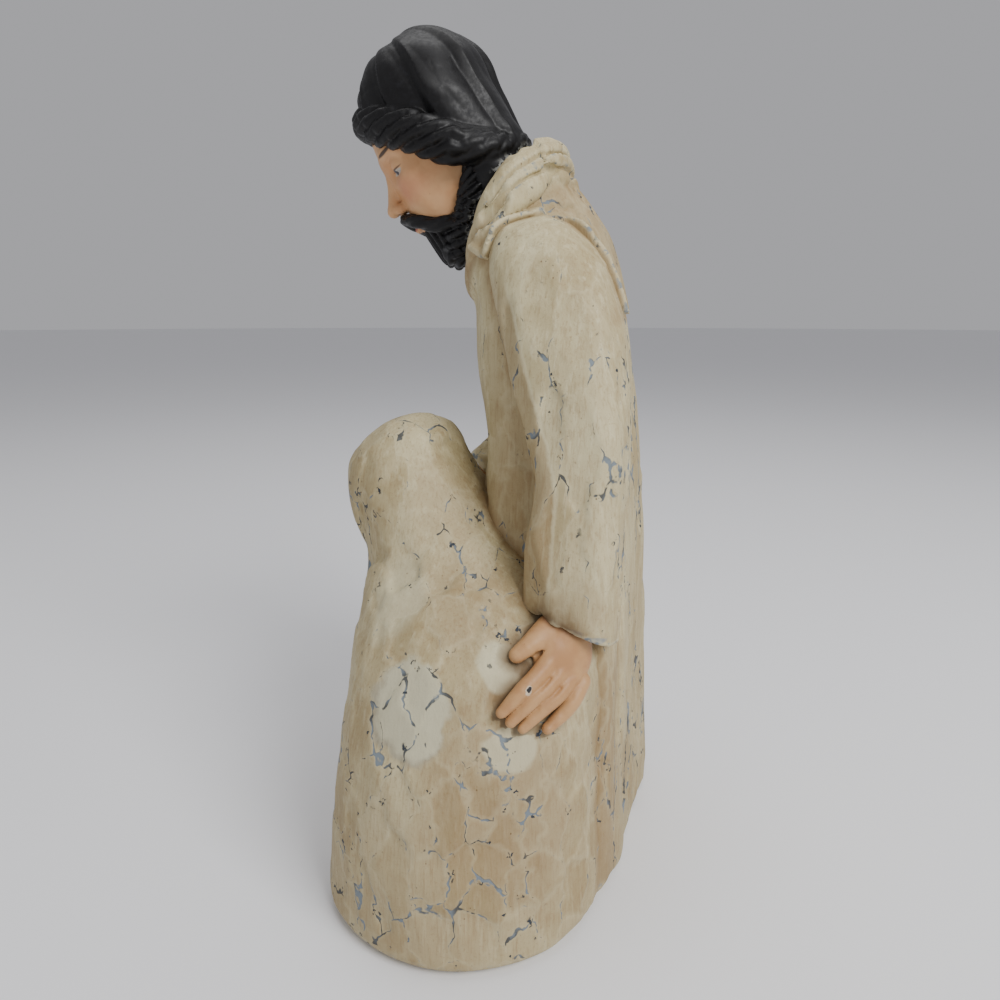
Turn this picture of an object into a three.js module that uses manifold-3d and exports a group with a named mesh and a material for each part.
// A painted presepe figure in one casting: a bearded man bends over a kneeling, veiled woman, his left hand on her
// cloak and his right hand at her shoulder. Millimetres, +Z up. The pair faces -Y, and +X is their left side.
// The origin is on the surface that the figure stands on, below the middle of the group.

import * as THREE from "three";
import { mergeVertices } from "three/addons/utils/BufferGeometryUtils.js";
import Module from "manifold-3d";

const wasm = await Module();
wasm.setup();

// Driving dimensions, in millimetres.
const height = 305; // from the underside to the crown of the man's hair
const mantleThickness = 1.5; // how far the man's mantle stands proud of his robe
const cuffDepth = 5; // how deep each sleeve is hollowed round its wrist
const cuffWall = 2.6; // cloth thickness at the mouth of a sleeve
const veilDepth = 7; // how far the woman's face lies inside her veil

// The forms below are shares of the height: one unit is a 30.5th of it, a centimetre on the real figure.
const unit = height / 30.5;

const robePaint = { color: 0xb3a488, roughness: 0.65, metalness: 0 };

// One value of a table's column at w, on a smooth curve that doesn't overshoot its rows.
function along(rows, column, w) {
  const last = rows.length - 1;
  let i = rows.findIndex((row) => row[0] > w) - 1;
  if (i < 0) i = w < rows[0][0] ? 0 : last - 1;
  const slope = (k) => {
    if (k === 0 || k === last) return 0;
    const before = (rows[k][column] - rows[k - 1][column]) / (rows[k][0] - rows[k - 1][0]);
    const after = (rows[k + 1][column] - rows[k][column]) / (rows[k + 1][0] - rows[k][0]);
    return before * after <= 0 ? 0 : (2 * before * after) / (before + after);
  };
  const span = rows[i + 1][0] - rows[i][0];
  const t = Math.min(1, Math.max(0, (w - rows[i][0]) / span));
  const t2 = t * t;
  const t3 = t2 * t;
  return (
    (2 * t3 - 3 * t2 + 1) * rows[i][column] +
    (t3 - 2 * t2 + t) * span * slope(i) +
    (3 * t2 - 2 * t3) * rows[i + 1][column] +
    (t3 - t2) * span * slope(i + 1)
  );
}

// Indexed triangles from rings of points, closed with a fan at each end.
function geometryOfRings(rings) {
  const count = rings[0].length;
  const positions = rings.flat();
  const faces = [];
  for (let r = 0; r + 1 < rings.length; r++) {
    for (let i = 0; i < count; i++) {
      const a = r * count + i;
      const b = r * count + ((i + 1) % count);
      faces.push(a, b, b + count, a, b + count, a + count);
    }
  }
  for (const [ring, turn] of [[0, true], [rings.length - 1, false]]) {
    const middle = positions.length;
    const centre = new THREE.Vector3();
    for (const point of rings[ring]) centre.addScaledVector(point, 1 / count);
    positions.push(centre);
    for (let i = 0; i < count; i++) {
      const a = ring * count + i;
      const b = ring * count + ((i + 1) % count);
      faces.push(...(turn ? [middle, b, a] : [middle, a, b]));
    }
  }
  const geometry = new THREE.BufferGeometry();
  geometry.setAttribute("position", new THREE.Float32BufferAttribute(positions.flatMap((p) => p.toArray()), 3));
  geometry.setIndex(faces);
  return geometry;
}

// A closed geometry as a manifold-3d solid.
function solid(geometry, matrix = new THREE.Matrix4()) {
  const bare = geometry.clone();
  for (const name of Object.keys(bare.attributes)) if (name !== "position") bare.deleteAttribute(name);
  bare.applyMatrix4(matrix);
  const merged = mergeVertices(bare, 1e-4);
  return new wasm.Manifold(
    new wasm.Mesh({
      numProp: 3,
      vertProperties: merged.attributes.position.array,
      triVerts: new Uint32Array(merged.index.array),
    }),
  );
}

// A form lofted up the third axis of its frame. Each row is [w, u, v, half width, half depth in front, half depth
// behind, squareness]; a half width squared runs smoothly between rows, so a last row of 0 closes as a dome. The
// rows and the folds are in units, and grow is in millimetres.
function loft({ rows, sides, steps, grow = 0, frame = new THREE.Matrix4(), from, to, fold = () => 0 }) {
  const low = from ?? rows[0][0];
  const high = to ?? rows[rows.length - 1][0];
  const squares = rows.map((row) => [row[0], row[1], row[2], row[3] ** 2, row[4] ** 2, row[5] ** 2, row[6]]);
  const closes = rows[rows.length - 1][3] === 0 && to === undefined;
  const rings = [];
  for (let k = 0; k <= steps; k++) {
    const share = closes ? 1 - (1 - k / (steps + 0.35)) ** 1.6 : k / steps;
    const w = low + (high - low) * share;
    const [u, v, width, front, back, square] = [1, 2, 3, 4, 5, 6].map((column) => along(squares, column, w));
    const ring = [];
    for (let i = 0; i < sides; i++) {
      const angle = (2 * Math.PI * i) / sides;
      const c = Math.sign(Math.cos(angle)) * Math.abs(Math.cos(angle)) ** (2 / square);
      const s = Math.sign(Math.sin(angle)) * Math.abs(Math.sin(angle)) ** (2 / square);
      const out = grow / unit + fold(angle, w);
      const x = (Math.sqrt(Math.max(width, 0)) + out) * c;
      const y = (Math.sqrt(Math.max(s < 0 ? front : back, 0)) + out) * s;
      ring.push(new THREE.Vector3((u + x) * unit, (v + y) * unit, w * unit));
    }
    rings.push(ring);
  }
  return solid(geometryOfRings(rings), frame);
}

// A frame with its third axis from one point to another, and its first axis as near as can be to side.
function frameAlong(start, end, side) {
  const axis = new THREE.Vector3(...end).sub(new THREE.Vector3(...start)).normalize();
  const second = new THREE.Vector3().crossVectors(axis, new THREE.Vector3(...side)).normalize();
  const first = new THREE.Vector3().crossVectors(second, axis);
  const matrix = new THREE.Matrix4().makeBasis(first, second, axis);
  return matrix.setPosition(new THREE.Vector3(...start).multiplyScalar(unit));
}

// An egg shape: a sphere with three half sizes, turned by the frame.
function egg(centre, halves, frame = new THREE.Matrix4(), across = 10, down = 6) {
  const place = new THREE.Matrix4().makeTranslation(...centre.map((x) => x * unit));
  const scale = new THREE.Matrix4().makeScale(...halves.map((x) => x * unit));
  return solid(new THREE.SphereGeometry(1, across, down), frame.clone().multiply(place).multiply(scale));
}

// A bent rod with round ends through a list of points, each [x, y, z, radius], for a finger or a roll of hair.
function rod(points, frame = new THREE.Matrix4(), sides = 6) {
  const centres = points.map(([x, y, z]) => new THREE.Vector3(x, y, z));
  const rings = [];
  points.forEach(([, , , radius], i) => {
    const before = centres[Math.max(i - 1, 0)];
    const after = centres[Math.min(i + 1, centres.length - 1)];
    const ahead = new THREE.Vector3().subVectors(after, before).normalize();
    const first = new THREE.Vector3(0.31, 0.17, 0.93).cross(ahead).normalize();
    const second = new THREE.Vector3().crossVectors(ahead, first);
    const spots = [[0, 1]];
    if (i === 0) spots.unshift([-0.98, 0.2], [-0.7, 0.71]);
    if (i === centres.length - 1) spots.push([0.7, 0.71], [0.98, 0.2]);
    for (const [shift, share] of spots) {
      const ring = [];
      for (let k = 0; k < sides; k++) {
        const angle = (2 * Math.PI * k) / sides;
        const point = centres[i].clone().addScaledVector(ahead, shift * radius);
        point.addScaledVector(first, Math.cos(angle) * radius * share);
        point.addScaledVector(second, Math.sin(angle) * radius * share);
        ring.push(point.multiplyScalar(unit));
      }
      rings.push(ring);
    }
  });
  return solid(geometryOfRings(rings), frame);
}

// A block that cuts away everything on one side of a plane through a point.
function halfSpace(point, normal) {
  const size = height * 2;
  const box = new THREE.BoxGeometry(size, size, size).translate(0, 0, size / 2);
  const end = point.map((x, i) => x + normal[i]);
  return solid(box, frameAlong(point, end, [1, 0.01, 0.02]));
}

// The woman's cloak and veil, from the floor to the top of her bowed head.
const cloakRows = [
  [0, 2.7, -0.3, 5.4, 4.75, 5.1, 2.15],
  [0.5, 2.7, -0.3, 5.65, 4.9, 5.35, 2.15],
  [2.7, 2.7, -0.3, 5.7, 4.6, 5.3, 2.15],
  [6.0, 2.65, -0.2, 5.55, 4.3, 5.1, 2.1],
  [7.5, 2.6, -0.1, 5.3, 4.2, 5.0, 2.1],
  [9.8, 2.4, 0.1, 4.7, 4.3, 4.6, 2.05],
  [11.5, 2.1, -0.2, 3.85, 3.9, 3.55, 2],
  [13.0, 1.8, -1.0, 2.9, 3.4, 2.5, 2],
  [14.0, 1.7, -1.7, 2.6, 3.3, 2.15, 2],
  [15.0, 1.6, -2.2, 2.4, 3.0, 1.85, 2],
  [16.0, 1.6, -2.6, 2.05, 2.15, 1.65, 2],
  [16.8, 1.6, -2.6, 1.45, 1.15, 1.2, 2],
  [17.25, 1.6, -2.5, 0, 0, 0, 2],
];

function cloak() {
  const broad = (angle, w) => 0.07 * Math.sin(angle * 7 + 0.6) * Math.max(0, 1 - Math.abs(w - 5) / 8);
  return loft({ rows: cloakRows, sides: 28, steps: 14, fold: broad });
}

// The woman's face in the mouth of the veil, looking down, with the rim of the veil a little proud round it.
function womanFace() {
  const frame = headFrame([1.5, -2.8, 14.3], 18, -8);
  const rimFront = 2.2;
  const rim = egg([0, rimFront - 1.3, -0.3], [2.1, 1.35, 2.5], frame, 16, 10);
  const opening = egg([0, rimFront + 0.35, -0.35], [1.65, 1.5, 2.15], frame, 14, 10);
  const face = egg([0, rimFront - veilDepth / unit - 1.25, -0.25], [1.4, 1.45, 1.9], frame, 12, 8);
  const nose = rod([[0, 1.5, 0.1, 0.16], [0, 1.85, -0.65, 0.22]], frame);
  const chin = egg([0, 1.0, -1.5], [0.55, 0.5, 0.4], frame);
  return { rim, opening, face: wasm.Manifold.union([face, nose, chin]) };
}

// Hands joined in prayer below the woman's face, each out of a sleeve between the fronts of her cloak.
function prayingHands() {
  const parts = [];
  for (const side of [-1, 1]) {
    const palm = egg([1.3 + side * 0.32, -4.15, 9.0], [0.36, 0.75, 0.95]);
    const fingers = rod([
      [1.3 + side * 0.3, -4.35, 9.4, 0.36],
      [1.3 + side * 0.2, -4.7, 10.9, 0.24],
    ]);
    const sleeve = loft({
      rows: [
        [0, 0, 0, 1.15, 1.1, 1.1, 2],
        [2.2, 0, 0, 1.0, 0.95, 0.95, 2],
        [3.4, 0, 0, 0.9, 0.85, 0.85, 2],
      ],
      sides: 12,
      steps: 3,
      frame: frameAlong([1.3 + side * 2.4, -2.0, 6.7], [1.3 + side * 0.42, -4.0, 8.5], [0, 0, 1]),
    });
    parts.push(palm, fingers, sleeve);
  }
  return wasm.Manifold.union(parts);
}

// The frame of a head: x to its right, y to its front and z up, bowed and turned to its left in degrees.
function headFrame(centre, bow, turn) {
  const radians = Math.PI / 180;
  return new THREE.Matrix4()
    .makeTranslation(...centre.map((x) => x * unit))
    .multiply(new THREE.Matrix4().makeRotationZ(Math.PI + turn * radians))
    .multiply(new THREE.Matrix4().makeRotationX(-bow * radians));
}

// The cloth round the man's neck ends at this slanted plane, under the collar's first roll.
function neckPlane() {
  return halfSpace([-1.4, 0.38, 24.15], [0, -1.49, 1]);
}

// The man's robe, from the hem to the root of his neck.
const robeRows = [
  [0, -1.45, 1.7, 4.85, 3.5, 3.62, 4.6],
  [0.45, -1.45, 1.7, 5.0, 3.6, 3.7, 4.6],
  [4.0, -1.45, 1.7, 4.95, 3.5, 3.55, 3.9],
  [10.0, -1.6, 1.7, 4.7, 3.0, 3.35, 3.2],
  [15.7, -1.9, 1.9, 4.4, 2.25, 2.8, 2.8],
  [19.4, -2.0, 1.6, 4.35, 2.45, 2.5, 2.6],
  [21.8, -2.1, 1.1, 4.2, 2.4, 2.55, 2.4],
  [23.2, -2.1, 0.6, 3.7, 2.3, 2.65, 2.3],
  [24.3, -2.0, 0.2, 2.8, 2.0, 2.4, 2.2],
  [25.3, -1.8, -0.2, 2.1, 1.8, 2.05, 2],
  [26.3, -1.6, -0.5, 1.6, 1.5, 1.5, 2],
];

function robe() {
  const nearCorner = loft({
    rows: [
      [0, 2.3, 4.2, 1.0, 1.0, 0.85, 3],
      [0.45, 2.3, 4.2, 1.1, 1.1, 0.98, 3],
      [8.0, 2.3, 4.1, 1.1, 1.1, 1.0, 3],
      [12.0, 2.0, 3.7, 1.0, 1.0, 1.1, 3],
      [14.0, 1.4, 3.3, 0.8, 0.8, 0.9, 3],
    ],
    sides: 14,
    steps: 4,
  });
  const folds = (angle, w) => (w < 15 ? 0.09 * Math.sin(angle * 11) * Math.min(1, (15 - w) / 6) : 0);
  return loft({ rows: robeRows, sides: 32, steps: 10, fold: folds }).add(nearCorner).subtract(neckPlane());
}

// The left sleeve hangs from the shoulder to a wide cuff over the woman's cloak, with a flat fold down its front.
const leftSleeveRows = [
  [9.6, 3.95, 3.9, 1.4, 1.5, 1.45, 3.6],
  [13.0, 3.7, 3.9, 1.4, 1.5, 1.48, 3.4],
  [15.0, 3.25, 4.0, 1.45, 1.4, 1.33, 3.2],
  [17.0, 2.8, 3.9, 1.6, 1.75, 1.36, 3],
  [19.0, 2.3, 3.5, 1.75, 2.1, 1.5, 2.8],
  [20.5, 1.9, 3.0, 1.8, 2.1, 1.75, 2.6],
  [22.0, 1.5, 2.4, 1.75, 2.0, 1.75, 2.4],
  [23.2, 1.15, 1.9, 1.4, 1.45, 1.3, 2.2],
  [23.9, 0.8, 1.7, 0, 0, 0, 2],
];

function leftSleeve() {
  const sleeve = loft({ rows: leftSleeveRows, sides: 20, steps: 11 });
  const hem = halfSpace([3.9, 3.9, 10.88], [0.35, -0.3, -1]);
  const fold = halfSpace([5.16, 3.5, 13.4], [0.81, -0.585, -0.02]);
  const wall = cuffWall / unit;
  const end = halfSpace([3.9, 3.9, 10.88 + cuffDepth / unit], [-0.35, 0.3, 1]);
  const innerFold = halfSpace([5.16 - 0.81 * wall, 3.5 + 0.585 * wall, 13.4], [0.81, -0.585, -0.02]);
  const hollow = loft({ rows: leftSleeveRows, sides: 16, steps: 3, grow: -cuffWall, from: 9.5, to: 13.0 });
  return sleeve.subtract(hem).subtract(fold).subtract(hollow.subtract(end).subtract(innerFold));
}

// The right arm: the upper sleeve hangs from the shoulder, and the forearm comes forward round the woman.
const rightSleeveRows = [
  [13.6, -5.7, 1.2, 1.0, 1.3, 1.3, 2.4],
  [15.5, -5.9, 1.3, 1.55, 1.8, 1.8, 2.4],
  [18.0, -5.7, 1.2, 1.6, 1.9, 1.9, 2.4],
  [20.5, -5.4, 1.0, 1.65, 2.0, 1.9, 2.3],
  [22.0, -5.0, 0.9, 1.6, 1.8, 1.8, 2.2],
  [23.2, -4.6, 0.9, 1.2, 1.3, 1.3, 2],
  [23.8, -4.3, 0.9, 0, 0, 0, 2],
];

function rightSleeve() {
  const upper = loft({ rows: rightSleeveRows, sides: 16, steps: 7 });
  const forearmFrame = frameAlong([-5.4, 1.3, 16.7], [-3.8, -1.75, 13.75], [1, 0, 0]);
  const forearmRows = [
    [-0.6, 0, 0, 1.2, 1.2, 1.2, 2.2],
    [0.8, 0, 0, 1.35, 1.4, 1.4, 2.4],
    [2.4, 0, 0, 1.35, 1.4, 1.4, 2.6],
    [4.55, 0, 0, 1.35, 1.4, 1.4, 2.8],
  ];
  const forearm = loft({ rows: forearmRows, sides: 18, steps: 4, frame: forearmFrame });
  const hollow = loft({
    rows: forearmRows,
    sides: 12,
    steps: 2,
    grow: -cuffWall,
    from: 4.55 - cuffDepth / unit,
    to: 5.0,
    frame: forearmFrame,
  });
  return upper.add(forearm).subtract(hollow);
}

// The mantle over the shoulders: a raised layer, arched over each sleeve, long at the back and short in front.
function mantle() {
  const spec = { sides: 20, steps: 4, grow: mantleThickness, from: 20.9 };
  const layer = [
    loft({ ...spec, rows: robeRows, to: 26.1 }),
    loft({ ...spec, rows: leftSleeveRows }),
    loft({ ...spec, rows: rightSleeveRows }),
  ];
  const arch = (x, y, z, rise) => {
    const cylinder = new THREE.CylinderGeometry(unit, unit, 5 * unit, 18);
    const place = new THREE.Matrix4()
      .makeTranslation(x * unit, y * unit, z * unit)
      .multiply(new THREE.Matrix4().makeScale(1, 2.6, 5.0))
      .multiply(new THREE.Matrix4().makeRotationZ(Math.PI / 2));
    const slope = new THREE.Matrix4().set(1, 0, 0, 0, 0, 1, 0, 0, rise, 0, 1, -rise * x * unit, 0, 0, 0, 1);
    return solid(cylinder, slope.multiply(place));
  };
  const openings = [
    arch(3.6, 2.4, 20.3, 0.5),
    arch(-7.5, 1.25, 19.9, -0.5),
    halfSpace([0, 3.5, 20.6], [0, -0.55, -1]),
    neckPlane(),
  ];
  return wasm.Manifold.union(layer).subtract(wasm.Manifold.union(openings));
}

// The frame of a palm: x towards the fingers and z out of the back of the hand.
function palmFrame(centre, ahead, out) {
  const x = new THREE.Vector3(...ahead).normalize();
  const y = new THREE.Vector3(...out).cross(x).normalize();
  const z = new THREE.Vector3().crossVectors(x, y);
  return new THREE.Matrix4().makeBasis(x, y, z).setPosition(new THREE.Vector3(...centre).multiplyScalar(unit));
}

// The man's left hand lies on the back of the cloak, its fingers together and pointing down and forwards.
function leftHand() {
  const frame = palmFrame([5.0, 3.95, 10.35], [0.45, -0.1, -0.88], [0.75, 0.66, 0.1]);
  const palm = egg([0, 0, 0], [1.1, 1.0, 0.55], frame, 12, 8);
  const rods = [
    [[3.9, 3.9, 12.3, 0.62], [4.5, 3.98, 11.0, 0.66]],
    [[5.35, 3.72, 10.45, 0.36], [6.52, 3.12, 9.75, 0.28], [6.98, 2.65, 9.18, 0.22]],
    [[5.33, 4.0, 10.07, 0.36], [6.42, 3.41, 9.42, 0.27], [6.92, 2.9, 8.89, 0.21]],
    [[5.18, 4.28, 9.83, 0.35], [6.17, 3.73, 9.13, 0.27], [6.74, 3.23, 8.65, 0.21]],
    [[4.98, 4.55, 9.55, 0.32], [5.73, 4.22, 8.82, 0.27], [6.22, 3.84, 8.48, 0.22]],
    [[4.9, 3.5, 11.0, 0.42], [5.55, 3.08, 10.75, 0.34], [5.95, 2.75, 10.55, 0.27]],
  ];
  return wasm.Manifold.union([palm, ...rods.map((points) => rod(points))]);
}

// The man's right hand reaches out of its cuff to the woman's far shoulder.
function rightHand() {
  const frame = palmFrame([-1.5, -2.9, 12.7], [0.82, -0.48, -0.31], [-0.45, -0.7, 0.55]);
  const fingers = [1.7, 1.9, 1.75, 1.35].map((length, i) => [
    [0.5, 0.75 - 0.5 * i, 0.05, 0.31],
    [0.5 + length * 0.5, 0.8 - 0.54 * i, 0.16, 0.29],
    [0.5 + length, 0.86 - 0.6 * i, -0.05, 0.25],
  ]);
  const rods = [
    [[-3.2, 0, 0.35, 0.85], [-0.8, 0, 0.05, 0.75]],
    [[-0.7, 0.6, 0, 0.42], [0.1, 1.3, 0.05, 0.34], [0.75, 1.6, -0.05, 0.27]],
    ...fingers,
  ];
  const palm = egg([-0.15, 0, 0], [1.15, 1.05, 0.5], frame);
  return wasm.Manifold.union([palm, ...rods.map((points) => rod(points, frame))]);
}

// Three thick rolls of cloth round the man's neck, high at the nape and low under the beard.
function collar() {
  const rolls = [
    { centre: [-1.4, 0.38, 24.4], across: 2.3, down: 2.1, thick: 0.38, slope: 0.98 },
    { centre: [-1.5, 0.38, 23.88], across: 2.75, down: 2.3, thick: 0.39, slope: 0.96 },
    { centre: [-1.6, 0.42, 23.3], across: 3.1, down: 2.4, thick: 0.4, slope: 0.94 },
  ];
  return wasm.Manifold.union(
    rolls.map(({ centre, across, down, thick, slope }) => {
      const torus = new THREE.TorusGeometry(down * unit, thick * unit, 6, 16);
      const place = new THREE.Matrix4()
        .makeTranslation(...centre.map((x) => x * unit))
        .multiply(new THREE.Matrix4().makeRotationX(slope))
        .multiply(new THREE.Matrix4().makeScale(across / down, 1, 1));
      return solid(torus, place);
    }),
  );
}

// The man's bowed head, turned a little to his left. Its frame starts in the middle of the skull.
const manHead = headFrame([-1.2, -2.9, 27.6], 30, 24);

function manFace() {
  const face = loft({
    rows: [
      [-4.35, 0, 1.6, 0.35, 0.35, 0.35, 2],
      [-3.95, 0, 1.4, 0.95, 0.75, 0.7, 2],
      [-3.2, 0, 1.15, 1.5, 1.15, 1.15, 2.1],
      [-2.2, 0, 0.9, 1.85, 1.5, 1.65, 2.1],
      [-0.6, 0, 0.65, 2.1, 1.85, 1.95, 2],
      [0.4, 0, 0.65, 2.0, 1.8, 1.85, 2],
      [1.6, 0, 0.4, 1.6, 1.4, 1.35, 2],
    ],
    sides: 18,
    steps: 6,
    frame: manHead,
  });
  const neck = rod([[-1.6, -0.1, 22.4, 1.4], [-1.4, -1.3, 26.4, 1.4]], undefined, 10);
  const nose = rod([[0, 2.4, -0.75, 0.2], [0, 2.95, -1.9, 0.27]], manHead);
  const nostrils = egg([0, 2.7, -2.05], [0.42, 0.32, 0.2], manHead);
  const brow = [-1, 1].map((side) =>
    rod([[side * 0.3, 2.4, -0.4, 0.2], [side * 1.35, 2.05, -0.4, 0.2]], manHead),
  );
  const cheeks = [-1, 1].map((side) => egg([side * 0.95, 1.85, -1.8], [0.6, 0.55, 0.7], manHead));
  const lips = egg([0, 2.2, -2.8], [0.65, 0.48, 0.4], manHead);
  return wasm.Manifold.union([face, neck, nose, nostrils, lips, ...brow, ...cheeks]);
}

// The hair: a cap in broad locks, with a thick roll along its lower edge from the forehead to the nape.
function hair() {
  const cap = loft({
    rows: [
      [26.2, -1.2, -2.6, 2.1, 2.2, 3.2, 2.1],
      [26.8, -1.2, -2.6, 2.25, 2.6, 3.05, 2.1],
      [27.4, -1.2, -2.8, 2.45, 2.85, 2.85, 2.1],
      [28.0, -1.2, -2.9, 2.6, 2.8, 2.6, 2.1],
      [28.6, -1.2, -3.0, 2.5, 2.5, 2.35, 2.1],
      [29.2, -1.2, -3.05, 2.25, 2.15, 2.15, 2.1],
      [29.8, -1.2, -3.0, 1.7, 1.5, 1.65, 2],
      [30.2, -1.2, -3.0, 1.15, 1.0, 1.0, 2],
      [30.5, -1.2, -3.0, 0, 0, 0, 2],
    ],
    sides: 27,
    steps: 7,
    fold: (angle, w) => 0.06 * Math.sin(angle * 9 + w * 1.3),
  });
  const roll = [-1, 1].map((side) =>
    rod(
      [
        [0, -5.25, 27.3, 0.54],
        [1.1, -5.05, 27.3, 0.58],
        [1.95, -4.15, 27.0, 0.65],
        [2.2, -2.85, 26.7, 0.7],
        [1.95, -1.45, 26.25, 0.7],
        [1.3, -0.35, 26.15, 0.64],
        [0.2, 0.25, 26.5, 0.48],
      ].map(([x, y, z, r]) => [-1.2 + side * x, y, z, r]),
      undefined,
      9,
    ),
  );
  const nape = egg([-1.2, -0.42, 25.6], [1.75, 1.1, 1.38], undefined, 10, 6);
  return wasm.Manifold.union([cap, nape, ...roll]);
}

function beard() {
  const jaw = [-1, 1].map((side) =>
    rod(
      [
        [1.75, -0.95, -1.7, 0.48],
        [1.8, -0.2, -2.55, 0.51],
        [1.8, 0.3, -3.1, 0.53],
        [1.65, 0.72, -3.55, 0.55],
        [1.25, 1.2, -3.98, 0.58],
        [0.7, 1.7, -4.4, 0.53],
      ].map(([x, y, z, r]) => [side * x, y, z, r]),
      manHead,
      9,
    ),
  );
  const tuft = loft({
    rows: [
      [-4.8, 0, 1.8, 0.52, 0.32, 0.32, 2],
      [-4.5, 0, 1.75, 0.87, 0.52, 0.54, 2],
      [-4.1, 0, 1.6, 1.17, 0.67, 0.74, 2],
      [-3.6, 0, 1.45, 1.32, 0.82, 0.92, 2],
      [-3.15, 0, 1.35, 1.32, 0.82, 1.04, 2],
    ],
    sides: 18,
    steps: 3,
    frame: manHead,
    fold: (angle, w) => 0.04 * Math.sin(angle * 8 + w * 3),
  });
  const moustache = [-1, 1].map((side) =>
    rod(
      [
        [0.06, 2.82, -2.42, 0.17],
        [0.75, 2.5, -2.74, 0.23],
        [1.2, 1.96, -3.22, 0.26],
        [1.5, 1.2, -3.62, 0.28],
      ].map(([x, y, z, r]) => [side * x, y, z, r]),
      manHead,
    ),
  );
  return wasm.Manifold.union([...jaw, tuft, ...moustache]);
}

// The solid without the specks of air that are shut in where several round forms meet.
function filled(made) {
  return wasm.Manifold.compose(made.decompose().filter((body) => body.volume() > 0));
}

// The whole casting as one solid, cut flat underneath.
function figure() {
  const { rim, opening, face } = womanFace();
  const woman = cloak().add(rim).subtract(opening).add(face).add(prayingHands());
  const man = wasm.Manifold.union([
    robe(),
    mantle(),
    leftSleeve(),
    rightSleeve(),
    leftHand(),
    rightHand(),
    collar(),
    manFace(),
    hair(),
    beard(),
  ]);
  return filled(woman.add(man).subtract(halfSpace([0, 0, 0], [0, 0, -1])));
}

function meshOf(name, made, look) {
  const { numProp, vertProperties, triVerts } = made.getMesh();
  const positions = new Float32Array((vertProperties.length / numProp) * 3);
  for (let i = 0; i * numProp < vertProperties.length; i++) {
    positions.set(vertProperties.subarray(i * numProp, i * numProp + 3), i * 3);
  }
  const geometry = new THREE.BufferGeometry();
  geometry.setAttribute("position", new THREE.Float32BufferAttribute(positions, 3));
  geometry.setIndex(Array.from(triVerts));
  const mesh = new THREE.Mesh(geometry, new THREE.MeshStandardMaterial(look));
  mesh.name = name;
  return mesh;
}

const group = new THREE.Group();
group.add(meshOf("man_and_kneeling_woman", figure(), robePaint));
export default group;
